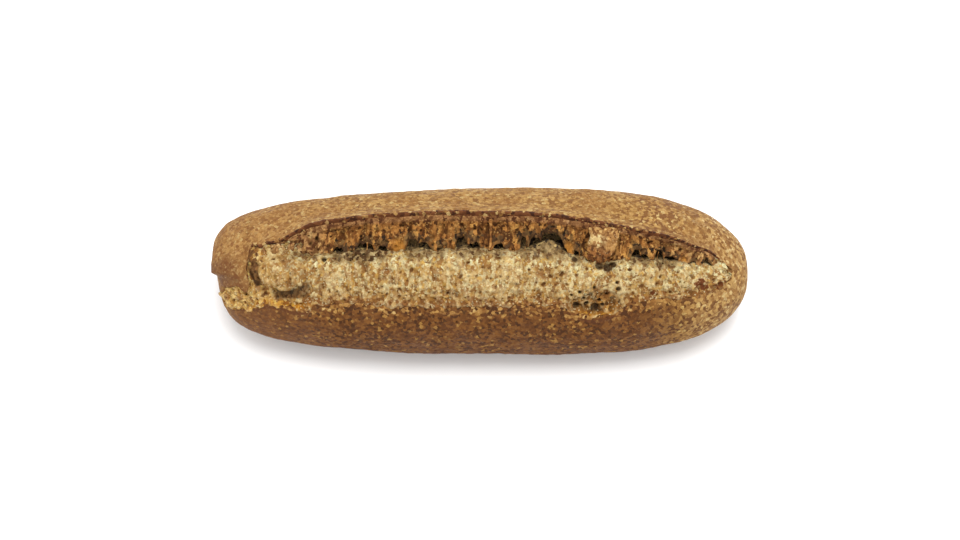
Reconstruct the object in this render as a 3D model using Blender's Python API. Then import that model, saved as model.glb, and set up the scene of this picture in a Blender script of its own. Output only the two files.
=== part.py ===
"""Mini baguette: one loaf with a lengthways cut whose upper edge lifts into an ear over the torn crumb.

The loaf lies along X on a flat spot at Z = 0 and the open side of the cut looks towards -Y and up.
Every station along X is a section whose points are named by a girth angle: 0 degrees is the front
waist, 90 the crown, 180 the back waist and 270 the underside. A share of 0 across the cut is its
lower lip and 1 the ear's edge. Forms on the crust are placed by their station and girth angle.
"""

import math

import bmesh
import bpy
import numpy as np

MM = 0.001

# Loaf, in millimetres
HALF_LENGTH = 95.0
BACK_HALF_WIDTH = 30.2
FRONT_HALF_WIDTH = 28.7
WAIST_HEIGHT = 19.0
CROWN_RISE = 26.0
BELLY_DROP = 21.0
UPPER_FULLNESS = 2.1
LOWER_FULLNESS = 2.7

# How each outline grows from the tips: (fullness, bluntness) at the left end, then at the right end
BACK_GROWTH = ((1.7, 4.5), (4.1, 2.0))
FRONT_GROWTH = ((2.2, 4.0), (4.5, 2.2))
CROWN_GROWTH = ((1.9, 3.6), (3.6, 2.1))
BELLY_GROWTH = ((4.0, 3.6), (5.0, 2.3))

# Girth angle of the ear's edge along the loaf
EAR_LINE = (
    (-95.0, 44.0),
    (-87.0, 56.0),
    (-82.0, 74.0),
    (-76.0, 90.0),
    (-68.0, 93.0),
    (-60.0, 99.0),
    (-48.0, 102.2),
    (-28.0, 104.4),
    (6.0, 104.2),
    (18.0, 103.7),
    (35.0, 99.9),
    (58.0, 93.3),
    (80.0, 86.0),
    (87.0, 79.0),
    (95.0, 77.0),
)

# Girth angle of the cut's lower lip along the loaf
LIP_LINE = (
    (-95.0, 4.0),
    (-87.2, 23.0),
    (-78.0, 35.0),
    (-70.5, 36.5),
    (-64.0, 32.0),
    (-56.5, 40.5),
    (-50.0, 43.2),
    (-30.0, 41.8),
    (29.0, 41.0),
    (34.5, 35.5),
    (39.5, 32.5),
    (45.0, 35.0),
    (51.0, 42.5),
    (62.0, 46.5),
    (76.0, 48.0),
    (85.0, 54.0),
    (95.0, 50.0),
)

# Height over the plain loaf across the cut: crumb, brow, crevice, ear and upper crust
CUT_PROFILE = (
    (-0.10, 0.0),
    (0.00, 0.25),
    (0.06, -0.45),
    (0.28, 0.2),
    (0.48, 0.0),
    (0.56, -0.5),
    (0.63, -1.8),
    (0.69, -4.0),
    (0.75, -7.0),
    (0.80, -9.4),
    (0.84, -10.4),
    (0.88, -9.0),
    (0.92, -5.4),
    (0.96, -0.6),
    (1.00, 4.0),
    (1.05, 3.8),
    (1.13, 2.0),
    (1.25, 0.5),
    (1.40, 0.0),
)
CUT_LOW, CUT_HIGH = CUT_PROFILE[0][0], CUT_PROFILE[-1][0]

# The torn face hangs from the ear's edge to the crumb's brow
FACE_TOP = (0.985, 3.0)
FACE_FOOT = (0.70, -4.3)
FACE_SAG = 2.0
OVERHANG = 3.0

# Cavities that open in the torn face: station, half width, how far down the face each one starts
CAVITIES = (
    (-49.0, 1.9, 0.70),
    (-40.1, 2.9, 0.62),
    (-33.7, 1.8, 0.66),
    (-23.2, 2.7, 0.50),
    (-18.1, 1.8, 0.62),
    (-6.0, 2.9, 0.50),
    (0.4, 2.0, 0.56),
    (7.1, 1.6, 0.60),
    (16.8, 2.2, 0.50),
    (24.9, 4.8, 0.32),
    (55.8, 2.8, 0.40),
    (65.4, 2.9, 0.42),
    (74.3, 1.8, 0.45),
    (79.6, 1.9, 0.30),
)

# Millimetres of girth for one degree, near the cut
DEGREE = 0.5

# Tongue of crust that hangs from the ear over the crevice
TONGUE_ROOT = (42.3, 99.0)
TONGUE_TIP = (40.2, 83.0)
TONGUE_HALF_WIDTH = 4.6
TONGUE_RISE = 2.9

# Rounded piece at the left end of the crumb, with a crease under it
NODULE = (-68.5, 68.5)
NODULE_REACH = (9.2, 16.5)
NODULE_RISE = 2.6
CREASE_DEPTH = 2.2

# Crater in the lower right of the crumb
CRATER = (41.0, 45.0)
CRATER_REACH = (10.0, 12.0)
CRATER_DEPTH = 1.7

# Left end: a groove in the crust, and a lobe under the cut that is shorter than the lobe above it
GROOVE = ((-79.1, 57.0), (-78.9, 75.0))
GROOVE_DEPTH = 1.8
NOTCH_STEP = 3.4

# Relief of the torn crumb and unevenness of the whole crust: height, size of the lumps
CRUMB_RELIEF = (0.8, 4.2)
COARSE_UNEVENNESS = (0.55, 23.0)
FINE_UNEVENNESS = (0.22, 8.0)

# Ragged lip and wavy edge of the ear: degrees of girth, length of the waves, reach across the cut
RAGGED_LIP = (1.5, 6.5, 0.09)
WAVY_EAR = (0.7, 9.0, 0.16)

# Mesh: plain columns run round from the ear's side to the lip's side of a loaf with a full-width cut
STATIONS = 128
COLUMNS = 46
CUT_COLUMNS = 28
CLOSER_AT_CUT = 0.45
PLAIN_FROM, PLAIN_TO = 129.0, 396.0


def ease(low, high, value):
    """Rises smoothly from 0 at low to 1 at high."""
    share = np.clip((value - low) / (high - low), 0.0, 1.0)
    return share * share * (3.0 - 2.0 * share)


def bell(value, centre, reach):
    return np.exp(-(((value - centre) / reach) ** 2))


def curve_through(keys, at):
    """A smooth curve through the (position, value) pairs."""
    places, values = np.array(keys, dtype=float).T
    slopes = np.gradient(values, places)
    i = np.clip(np.searchsorted(places, at) - 1, 0, len(places) - 2)
    gap = places[i + 1] - places[i]
    s = np.clip((at - places[i]) / gap, 0.0, 1.0)
    start = values[i] * (1 + 2 * s) * (1 - s) ** 2 + slopes[i] * gap * s * (1 - s) ** 2
    end = values[i + 1] * s * s * (3 - 2 * s) + slopes[i + 1] * gap * s * s * (s - 1)
    return start + end


def corner_value(i, j, k, seed):
    wave = np.sin(i * 127.1 + j * 311.7 + k * 74.7 + seed * 19.19) * 43758.5453
    return 2.0 * (wave - np.floor(wave)) - 1.0


def lumps(points, size, seed):
    """Smooth unevenness from -1 to 1 with lumps about this size across."""
    scaled = points / size
    cell = np.floor(scaled)
    inside = scaled - cell
    inside = inside * inside * (3.0 - 2.0 * inside)
    total = np.zeros(points.shape[:-1])
    for corner in range(8):
        step = np.array([corner & 1, corner >> 1 & 1, corner >> 2 & 1])
        weight = np.prod(np.where(step == 1, inside, 1.0 - inside), axis=-1)
        i, j, k = np.moveaxis(cell + step, -1, 0)
        total += weight * corner_value(i, j, k, seed)
    return total


def ripple(x, size, seed):
    """The same unevenness along one direction only."""
    line = np.stack([x, np.full_like(x, 0.5), np.full_like(x, 0.5)], axis=-1)
    return lumps(line, np.array([size, 1.0, 1.0]), seed)


def distance_to_line(x, girth, start, end):
    """Distance on the crust, in millimetres, to the line between two places."""
    along_x, along_girth = end[0] - start[0], DEGREE * (end[1] - start[1])
    off_x, off_girth = x - start[0], DEGREE * (girth - start[1])
    share = (off_x * along_x + off_girth * along_girth) / (along_x**2 + along_girth**2)
    share = np.clip(share, 0.0, 1.0)
    return np.hypot(off_x - share * along_x, off_girth - share * along_girth)


def distance_from(x, girth, place, reach):
    """Distance on the crust from a place, where 1 is the edge of the form that lies there."""
    return np.hypot((x - place[0]) / reach[0], (girth - place[1]) / reach[1])


def growth(x, shape):
    """Share of the full size that the outline has reached at station x."""
    reach = np.clip(np.abs(x) / HALF_LENGTH, 0.0, 1.0)
    (left_full, left_blunt), (right_full, right_blunt) = shape
    full = np.where(x < 0, left_full, right_full)
    blunt = np.where(x < 0, left_blunt, right_blunt)
    return (1.0 - reach**full) ** (1.0 / blunt)


def plain_loaf(x, girth):
    """Points of the loaf as if it had never been cut."""
    turn = np.radians(girth)
    across, up = np.cos(turn), np.sin(turn)
    upper = up >= 0
    power = 2.0 / np.where(upper, UPPER_FULLNESS, LOWER_FULLNESS)
    front = -FRONT_HALF_WIDTH * growth(x, FRONT_GROWTH)
    back = BACK_HALF_WIDTH * growth(x, BACK_GROWTH)
    y = np.where(across > 0, front, back) * np.abs(across) ** power
    crown = CROWN_RISE * growth(x, CROWN_GROWTH)
    belly = -BELLY_DROP * growth(x, BELLY_GROWTH)
    z = WAIST_HEIGHT + np.where(upper, crown, belly) * np.abs(up) ** power
    return np.stack([x, y, z], axis=-1)


def normals(points):
    """Outward unit normals of a grid whose rows are stations and whose columns go round."""
    along = np.gradient(points, axis=0)
    around = np.roll(points, -1, axis=1) - np.roll(points, 1, axis=1)
    across = np.cross(along, around)
    size = np.linalg.norm(across, axis=-1, keepdims=True)
    across = across / np.maximum(size, 1e-9)
    across[0], across[-1] = (-1.0, 0.0, 0.0), (1.0, 0.0, 0.0)
    return across


def ear_angle(x):
    return curve_through(EAR_LINE, x)


def lip_angle(x):
    return curve_through(LIP_LINE, x)


def ear_rise(x):
    """Share of its full height that the ear reaches: it fades out towards both ends of the cut."""
    return ease(-86.0, -52.0, x) * ease(90.0, 64.0, x)


def cut_depth(x):
    """Share of its full depth that the crevice reaches."""
    left = 0.12 * ease(-94.0, -88.0, x) + 0.88 * ease(-76.0, -44.0, x)
    return left * ease(90.0, 62.0, x)


def cut_opening(x):
    """1 where the cut is wide, falling to 0 where its two edges meet."""
    return ease(3.0, 20.0, ear_angle(x) - lip_angle(x))


def tip_radius(x):
    return BACK_HALF_WIDTH * growth(x, BACK_GROWTH)


def cut_shares():
    """Shares of the columns across the cut, evenly spaced along its profile."""
    fine = np.linspace(CUT_LOW, CUT_HIGH, 1200)
    rise = curve_through(CUT_PROFILE, fine)
    step = np.hypot(np.diff(fine) * 30.0, np.diff(rise))
    run = np.concatenate([[0.0], np.cumsum(step)])
    return np.interp(np.linspace(0, run[-1], CUT_COLUMNS), run, fine)


def station_rows():
    """Stations along the loaf's outline, closer together where the torn crumb shows."""
    fine = HALF_LENGTH * np.sin(np.linspace(-math.pi / 2, math.pi / 2, 6000))
    step = np.hypot(np.diff(fine), np.diff(tip_radius(fine)))
    at_cut = ease(-84.0, -72.0, fine[1:]) * ease(88.0, 76.0, fine[1:])
    run = np.concatenate([[0.0], np.cumsum(step * (1.0 + CLOSER_AT_CUT * at_cut))])
    return np.interp(np.linspace(0, run[-1], STATIONS + 1), run, fine)


def edge_waves(rows, shares, edge, wave, seed):
    """How far, in degrees, the edge at this share strays from its line at each station."""
    most, length, reach = wave
    return (most * ripple(rows, length, seed) * cut_opening(rows))[:, None] * bell(shares, edge, reach)


def girth_grid(rows):
    """Girth angle of every grid point, and its share across the cut (2 outside the cut)."""
    shares = cut_shares()
    ear, lip = ear_angle(rows)[:, None], lip_angle(rows)[:, None]
    cut = lip + (ear - lip) * shares
    ragged = edge_waves(rows, shares, 0.0, RAGGED_LIP, 5) + edge_waves(rows, shares, 1.0, WAVY_EAR, 3)
    steps = np.arange(1, COLUMNS - CUT_COLUMNS + 1) / (COLUMNS - CUT_COLUMNS + 1)
    plain = PLAIN_FROM + (PLAIN_TO - PLAIN_FROM) * steps
    plain = plain + (cut[:, -1:] - PLAIN_FROM) * ease(0.3, 0.0, steps)
    plain = plain + (cut[:, :1] + 360.0 - PLAIN_TO) * ease(0.7, 1.0, steps)
    girth = np.concatenate([cut + ragged, plain], axis=1)
    share = np.concatenate([np.broadcast_to(shares, cut.shape), np.full_like(plain, 2.0)], axis=1)
    return girth, share


def torn_face(share):
    """Height of the torn face, and how far down it this share lies, from 0 at the ear to 1 at the brow."""
    (top_share, top), (foot_share, foot) = FACE_TOP, FACE_FOOT
    down = np.clip((top_share - share) / (top_share - foot_share), 0.0, 1.0)
    return top + (foot - top) * down - FACE_SAG * np.sin(math.pi * down), down


def cavities(x, down):
    """1 in the cavities that open in the torn face and 0 on the strands between them."""
    opened = np.zeros_like(x)
    for place, half_width, top in CAVITIES:
        arch = top + (1.0 - top) * np.abs((x - place) / half_width) ** 2.6
        opened = np.maximum(opened, ease(-0.10, 0.16, down - arch))
    return opened


def cut_height(x, share):
    """Height over the plain loaf across the cut, and where its cavities open."""
    profile = curve_through(CUT_PROFILE, share)
    face, down = torn_face(share)
    opened = cavities(x, down)
    on_face = (down > 0.0) & (down < 1.0)
    strands = np.maximum(face, profile)
    profile = np.where(on_face, opened * profile + (1.0 - opened) * strands, profile)
    fading = np.where(share > FACE_FOOT[0], ear_rise(x), 1.0)
    height = np.maximum(profile, 0.0) * fading + np.minimum(profile, 0.0) * cut_depth(x)
    return height, opened * on_face


def crumb_relief(x, share):
    """Short ridges that run across the torn crumb and its face."""
    rise, size = CRUMB_RELIEF
    across_cut = np.stack([x, share * 9.0, np.zeros_like(x)], axis=-1)
    torn = ease(0.02, 0.12, share) * ease(0.98, 0.88, share) * cut_opening(x)
    return rise * torn * lumps(across_cut, size, 21)


def tongue_rise(x, girth, share, height):
    """What the tongue adds to the height under it."""
    away = distance_to_line(x, girth, TONGUE_ROOT, TONGUE_TIP) / TONGUE_HALF_WIDTH
    dome = 0.4 + TONGUE_RISE * np.sqrt(np.clip(1.0 - away**2, 0.0, 1.0))
    return np.maximum(dome - height, 0.0) * ease(1.10, 0.80, away) * ease(1.02, 0.96, share)


def single_forms(x, girth):
    """The nodule with its crease, the crater and the groove."""
    nodule = distance_from(x, girth, NODULE, NODULE_REACH)
    under = ease(76.0, 60.0, girth) * ease(-79.0, -73.0, x)
    crease = bell(nodule, 1.16, 0.17) * under
    crater = distance_from(x, girth, CRATER, CRATER_REACH)
    groove = distance_to_line(x, girth, *GROOVE)
    return (
        NODULE_RISE * ease(1.10, 0.45, nodule)
        - CREASE_DEPTH * crease
        - CRATER_DEPTH * ease(1.15, 0.35, crater)
        - GROOVE_DEPTH * ease(2.4, 0.4, groove)
    )


def unevenness(surface):
    """Gentle unevenness of the crust; the underside is as even as the sheet that it was baked on."""
    (coarse_rise, coarse), (fine_rise, fine) = COARSE_UNEVENNESS, FINE_UNEVENNESS
    rise = coarse_rise * lumps(surface, coarse, 31) + fine_rise * lumps(surface, fine, 32)
    return rise * ease(0.0, 8.0, surface[..., 2])


def notch_step(x, girth):
    """How far the lower lobe of the left end stops short of the upper one."""
    upper_lobe = ease(54.0, 74.0, girth) * ease(290.0, 190.0, girth)
    side = 1.0 - 2.0 * upper_lobe
    step = 0.5 * NOTCH_STEP * (1.0 + side * ease(0.0, 11.0, tip_radius(x)))
    return step * ease(-66.0, -93.0, x)


def baked_surface():
    """Points of the baked loaf, by station and round each section."""
    rows = station_rows()
    girth, share = girth_grid(rows)
    x = np.repeat(rows[:, None], girth.shape[1], axis=1)
    share = np.clip(share, CUT_LOW, CUT_HIGH)
    smooth_loaf = plain_loaf(x, girth)

    height, opened = cut_height(x, share)
    height += crumb_relief(x, share)
    height += tongue_rise(x, girth, share, height)
    height += single_forms(x, girth)
    height += unevenness(smooth_loaf)
    height *= ease(0.0, 9.0, tip_radius(x))

    tucked = OVERHANG * opened * bell(share, 0.885, 0.045) * cut_depth(x)
    points = plain_loaf(x, girth + tucked) + normals(smooth_loaf) * height[..., None]
    points[..., 0] += notch_step(x, girth)
    return points


def lay_down(points):
    """Presses the underside flat on Z = 0 and centres the loaf over the origin."""
    points[..., 2] = np.maximum(points[..., 2], 0.0)
    for axis in (0, 1):
        points[..., axis] -= 0.5 * (points[..., axis].max() + points[..., axis].min())
    return points


def clear_scene():
    for item in list(bpy.data.objects):
        bpy.data.objects.remove(item, do_unlink=True)


def crust_material():
    material = bpy.data.materials.new("crust")
    material.use_nodes = True
    shader = material.node_tree.nodes["Principled BSDF"]
    shader.inputs["Base Color"].default_value = (0.40, 0.22, 0.085, 1.0)
    shader.inputs["Roughness"].default_value = 0.8
    shader.inputs["Metallic"].default_value = 0.0
    return material


def build_loaf():
    points = lay_down(baked_surface()) * MM
    ball = bmesh.new()
    bmesh.ops.create_uvsphere(ball, u_segments=COLUMNS, v_segments=STATIONS, radius=1.0)
    for vertex in ball.verts:
        row = STATIONS - round(math.acos(max(-1.0, min(1.0, vertex.co.z))) / math.pi * STATIONS)
        turn = math.atan2(vertex.co.y, vertex.co.x) / (2.0 * math.pi) * COLUMNS
        column = math.floor(0.25 - turn) % COLUMNS
        vertex.co = points[row, column]
    bmesh.ops.triangulate(ball, faces=ball.faces)
    mesh = bpy.data.meshes.new("loaf")
    ball.to_mesh(mesh)
    ball.free()
    mesh.polygons.foreach_set("use_smooth", [True] * len(mesh.polygons))
    mesh.materials.append(crust_material())
    return bpy.data.objects.new("loaf", mesh)


clear_scene()
bread = bpy.data.collections.new("mini baguette")
bpy.context.scene.collection.children.link(bread)
bread.objects.link(build_loaf())
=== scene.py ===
"""Looks of the mini baguette: browned crust, torn crumb, hanging strands and a tongue of crust.

The loaf lies along X and the open side of its cut looks towards -Y and up. Lengths are millimetres
and angles are degrees until a mesh is made; the studio is in metres. A girth angle of 0 is the front
waist, 90 the crown, 180 the back waist and 270 the underside. A share of 0 is the cut's lower lip and
1 the ear's edge. A station is a place along X.
"""

import math

import bmesh
import bpy
import numpy as np
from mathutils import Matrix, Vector


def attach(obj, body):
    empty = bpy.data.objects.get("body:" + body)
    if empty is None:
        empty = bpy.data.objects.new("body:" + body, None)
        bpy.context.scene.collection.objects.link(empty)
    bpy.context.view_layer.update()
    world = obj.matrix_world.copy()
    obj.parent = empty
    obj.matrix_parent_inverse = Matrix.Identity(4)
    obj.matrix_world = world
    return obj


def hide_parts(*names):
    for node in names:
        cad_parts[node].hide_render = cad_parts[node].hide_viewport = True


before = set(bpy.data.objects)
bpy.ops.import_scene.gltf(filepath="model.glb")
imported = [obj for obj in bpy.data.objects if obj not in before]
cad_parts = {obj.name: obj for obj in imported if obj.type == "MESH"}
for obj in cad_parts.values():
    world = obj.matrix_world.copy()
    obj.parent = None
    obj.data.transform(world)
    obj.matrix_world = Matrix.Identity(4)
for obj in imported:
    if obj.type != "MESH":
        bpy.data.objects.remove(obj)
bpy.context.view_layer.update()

MM = 0.001

# Form of the plain loaf, with the solid's own values
HALF_LENGTH = 95.0
BACK_HALF_WIDTH = 30.2
FRONT_HALF_WIDTH = 28.7
WAIST_HEIGHT = 19.0
CROWN_RISE = 26.0
BELLY_DROP = 21.0
UPPER_FULLNESS = 2.1
LOWER_FULLNESS = 2.7
BACK_GROWTH = ((1.7, 4.5), (4.1, 2.0))
FRONT_GROWTH = ((2.2, 4.0), (4.5, 2.2))
CROWN_GROWTH = ((1.9, 3.6), (3.6, 2.1))
BELLY_GROWTH = ((4.0, 3.6), (5.0, 2.3))
NOTCH_STEP = 3.4
NOTCH_REACH = 11.0

# Half width of the loaf that a tip's size is a share of
TIP_SIZE = 29.0

# Millimetres of girth for one degree, near the cut and where the small marks lie
DEGREE = 0.5
MARK_DEGREE = 0.48

# Girth angle of the ear's edge along the loaf; this line, the lip's and the profile follow the
# photograph more closely than the solid's do
EAR_LINE = (
    (-95.0, 43.0), (-88.0, 53.0), (-82.2, 58.0), (-80.2, 86.5), (-76.0, 90.8), (-68.3, 92.5),
    (-60.0, 99.0), (-48.0, 102.2), (-28.0, 104.4), (6.0, 104.2), (18.0, 103.7), (35.0, 99.9),
    (58.0, 93.3), (72.0, 89.0), (80.0, 86.0), (86.0, 78.0), (89.0, 72.0), (95.0, 70.0),
)

# Girth angle of the cut's lower lip along the loaf
LIP_LINE = (
    (-95.0, 4.0), (-91.4, 13.0), (-87.2, 23.0), (-82.3, 28.0), (-78.0, 36.0), (-70.5, 38.5),
    (-64.0, 35.0), (-60.0, 36.5), (-56.5, 40.5), (-50.0, 43.2), (-30.0, 41.8), (10.0, 42.0),
    (29.0, 41.0), (34.5, 35.5), (39.5, 32.5), (45.0, 35.0), (51.0, 42.5), (62.0, 46.5),
    (76.0, 48.0), (84.0, 53.5), (88.0, 62.0), (95.0, 68.0),
)

# Height over the plain loaf across the cut: crumb, brow, crevice, ear and upper crust
CUT_PROFILE = (
    (-0.10, 0.0), (0.00, 0.25), (0.06, -0.45), (0.28, 0.2), (0.48, 0.0), (0.56, -0.5),
    (0.63, -1.5), (0.69, -3.0), (0.75, -5.2), (0.80, -7.0), (0.84, -7.8), (0.875, -7.2),
    (0.91, -5.0), (0.95, -1.4), (1.00, 4.0), (1.05, 3.8), (1.13, 2.0), (1.25, 0.5),
    (1.40, 0.0),
)
EAR_STARTS = 0.965
HIGHEST_CRUMB = 0.6

# Cavities under the ear, more and smaller ones than in the solid: station, half width and how far
# down the torn face they start
CAVITIES = (
    (-49.0, 2.3, 0.80), (-45.2, 1.4, 0.94), (-40.1, 3.4, 0.76), (-33.9, 2.0, 0.84), (-23.4, 2.7, 0.66),
    (-19.4, 3.0, 0.80), (-13.6, 1.8, 0.94), (-6.0, 2.7, 0.64), (-1.9, 3.1, 0.80), (6.4, 2.6, 0.84),
    (15.3, 1.5, 0.62), (19.3, 2.6, 0.64), (25.2, 4.9, 0.47), (33.8, 1.6, 0.86), (54.2, 1.8, 0.70),
    (57.4, 2.1, 0.84), (62.3, 1.6, 0.68), (65.9, 2.6, 0.78), (74.1, 1.3, 0.82), (79.4, 1.9, 0.64),
)

# Chunks of torn dough that hang below the rest of the face: station, half width, how far down
CHUNKS = ((-28.3, 2.8, 1.22), (31.0, 1.8, 1.05), (71.0, 1.2, 1.10))

# The torn face: shares that it is stretched between, with its foot nearer to the ear at the left end,
# how far down it reaches, and its form
FACE_TOP = 0.993
FACE_FOOT = 0.70
LEFT_FOOT_SHIFT = 0.17
FACE_REACH = 1.03
FACE_SAG = 2.4
FACE_THICKNESS = 1.3
HEM_THICKNESS = 0.35

# Rounded piece at the left end of the crumb with a crease under it, crater and groove: place as station
# and girth angle, reach along and round the loaf; the groove's ends are in millimetres of girth
NODULE = (-68.5, 68.5)
NODULE_REACH = (9.2, 16.5)
NODULE_RISE = 2.6
CREASE_DEPTH = 1.7
CRATER = (41.0, 45.0)
CRATER_REACH = (10.0, 12.0)
CRATER_DEPTH = 1.7
GROOVE = ((-78.7, 30.0), (-78.9, 37.5))
GROOVE_DEPTH = 1.5

# Depths of the named pores and blisters, of small holes in crumb, face and skin, and of the skin and
# the crumb where one covers the other; rise of the ear's edge
PORE_DEPTH = 1.6
BLISTER_DEPTH = 0.7
HOLE_DEPTH = 1.0
SMALL_HOLE_DEPTH = 0.8
FACE_HOLE_DEPTH = 1.3
DENT_DEPTH = 0.22
SUNK_DEPTH = 2.6
SHALLOW_DIVE = 0.25
DEEP_DIVE = 1.45
CRUMB_THICKNESS = 6.0
RIM_RISE = 0.35

# Spans along the loaf: where each starts and is complete, then where it ends and is still complete
EAR_SPAN = ((-86.0, -52.0), (90.0, 64.0))
OPEN_SPAN = ((-94.5, -92.0), (89.0, 86.2))
RIM_SPAN = ((-84.0, -79.0), (88.0, 81.0))
FRECKLED_SPAN = ((46.0, 60.0), (90.0, 80.0))
RIGHT_BROW_SPAN = ((48.0, 57.0), (86.0, 79.0))
CREASE_SPAN = ((-75.0, -70.0), (-56.5, -61.0))

# Places where something starts or stops along the loaf, and is complete
LEFT_END = (-40.0, -88.0)
RIGHT_END = (45.0, 88.0)
SHALLOW_START = (-94.0, -88.0)
CREVICE_START = (-76.0, -44.0)
CREVICE_STOP = (90.0, 62.0)
SHALLOW_SHARE = 0.12

# Waves of the edges: degrees of girth or share, length and seed of each layer; then reach in shares
RAGGED_LIP = ((1.5, 6.5, 5), (1.1, 2.3, 6), (0.6, 1.1, 7))
WAVY_EAR = ((0.7, 9.0, 3), (0.35, 3.1, 4))
WAVY_BROW = ((0.018, 7.0, 61), (0.010, 2.4, 62))
WAVY_HEM = ((0.10, 1.5, 71), (0.07, 0.7, 72))
LIP_REACH = 0.09
EAR_REACH = 0.16

# Unevenness: height, size of the lumps and seed of each layer
CRUST_WAVES = ((0.55, 23.0, 31), (0.22, 8.0, 32))
SKIN_GRAIN = ((0.10, 3.1, 33), (0.07, 1.5, 34))
NODULE_RIM = ((0.10, 3.4, 63), (0.06, 1.5, 65))
BROW_RUBBLE = ((0.9, 1.3, 52), (0.8, 2.4, 53))
TONGUE_GRAIN = ((0.7, 3.9, 81), (0.4, 1.7, 82), (0.3, 0.8, 85))

# Small round holes: size of their cells, share of the cells that have one, seed
SKIN_DENTS = (3.4, 0.16, 35)
CRUMB_HOLES = (2.9, 0.30, 51)
SMALL_CRUMB_HOLES = (1.5, 0.75, 57)
FACE_HOLES = (2.6, 0.42, 78)
SMALL_FACE_HOLES = (1.5, 0.6, 84)
TONGUE_HOLES = (2.0, 0.4, 83)

# Torn fibres: height, width, length and seed of each layer
CRUMB_FIBRES = ((0.50, 3.3, 12.0, 42), (0.50, 1.5, 6.0, 43), (0.38, 0.85, 2.6, 44))
FACE_FIBRES = ((0.75, 2.3, 9.0, 74), (0.55, 1.15, 4.5, 75), (0.35, 0.7, 1.8, 76))

# Round marks as station, girth angle and radius: bigger pores of the crumb, browned patches on it, and
# small burst blisters in the lower crust
PORES = (
    (33.4, 42.2, 1.5), (39.9, 39.4, 1.9), (37.0, 44.0, 1.0), (42.6, 42.0, 0.9), (39.6, 56.8, 0.7),
    (47.8, 56.0, 1.0), (47.4, 60.5, 0.7), (34.5, 53.5, 0.7), (44.0, 51.5, 0.6), (36.0, 48.5, 0.7),
    (41.5, 46.0, 0.8), (31.7, 51.5, 0.55), (41.6, 73.6, 1.9), (44.4, 72.6, 2.3), (46.4, 74.6, 1.5),
    (32.8, 78.0, 1.4), (-54.0, 78.5, 1.0), (-57.0, 88.0, 1.0), (71.8, 45.6, 0.6), (75.6, 44.6, 0.7),
)
SCORCHES = (
    (76.2, 59.4, 2.6), (77.4, 55.6, 2.6), (81.4, 55.6, 3.0), (83.6, 58.0, 2.2), (60.5, 52.0, 1.8),
)
BLISTERS = (
    (-11.3, 39.5, 0.55), (-13.5, 31.8, 0.5), (-8.0, 29.2, 0.5), (80.0, 26.0, 0.7), (86.0, 38.0, 0.5),
)

# The tongue of crust that hangs from the ear: x, y, z, half width, half thickness
TONGUE = (
    (43.4, 6.8, 45.4, 4.6, 0.8),
    (43.0, 4.2, 45.8, 5.4, 1.1),
    (42.8, 1.4, 45.6, 5.4, 1.3),
    (42.2, -1.2, 44.8, 5.0, 1.5),
    (41.4, -3.6, 43.3, 4.4, 1.5),
    (40.6, -5.3, 41.6, 3.8, 1.3),
    (40.0, -6.4, 39.9, 2.8, 1.0),
)
TONGUE_ROUNDS_FROM = 0.86

# Threads between the ear and the crumb: upper station, lower station, upper and lower place, radius
THREADS = (
    (3.8, 3.6, 0.12, 1.02, 0.52),
    (49.3, 48.6, 0.30, 1.00, 0.50),
    (70.2, 69.3, 0.45, 1.15, 0.50),
    (75.8, 76.3, 0.40, 1.15, 0.50),
)
SPARE_THREADS = 7
THREAD_SEED = 5
THREAD_SAG = 0.8

# Meshes: rows along the loaf and columns round each piece; the crust's columns across the cut are
# shares from, to and how many
OUTLINE_STEPS = 8000
CRUST_STATIONS = 440
CRUST_CUT_SHARES = ((-0.35, 0.10, 28), (0.10, 0.90, 8), (0.90, 1.15, 36), (1.15, 1.50, 16))
CRUST_PLAIN_COLUMNS = 140
CRUMB_STATIONS = 560
CRUMB_FRONT_COLUMNS = 160
CRUMB_BACK_COLUMNS = 16
CRUMB_ENDS = (-94.6, 88.2)
CRUMB_SHARES = (-0.05, 0.955)
CRUMB_MIDDLE = 0.45
CUT_WIDTH = 30.0
FACE_STATIONS = 560
FACE_FRONT_COLUMNS = 72
FACE_BACK_COLUMNS = 24
FACE_ENDS = (-79.0, 85.0)
TONGUE_ROWS = 120
TONGUE_COLUMNS = 96
THREAD_STEPS = 15
THREAD_SIDES = 8

# Studio: share of a screen colour that its surface reflects, the light that makes up for it, the floor
REFLECTED = 0.66
SKY_STRENGTH = 1.16
KEY_PLACE = (0.10, 0.20, 1.50)
KEY_SIZE = 1.0
KEY_POWER = 19.5
FLOOR_SIZE = 6.0
FLOOR_DROP = 0.0001
FLOOR_COLOUR = (0.93, 0.93, 0.93, 1.0)
FLOOR_ROUGHNESS = 0.9

# The photograph's view: it looks down on the cut
CAMERA_ELEVATION = 65.0
CAMERA_DISTANCE = 0.9
CAMERA_AIM = (0.0, 0.0, 0.019)
CAMERA_NEAREST = 0.01
LENS = 95.0
SENSOR_WIDTH = 36.0

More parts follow.
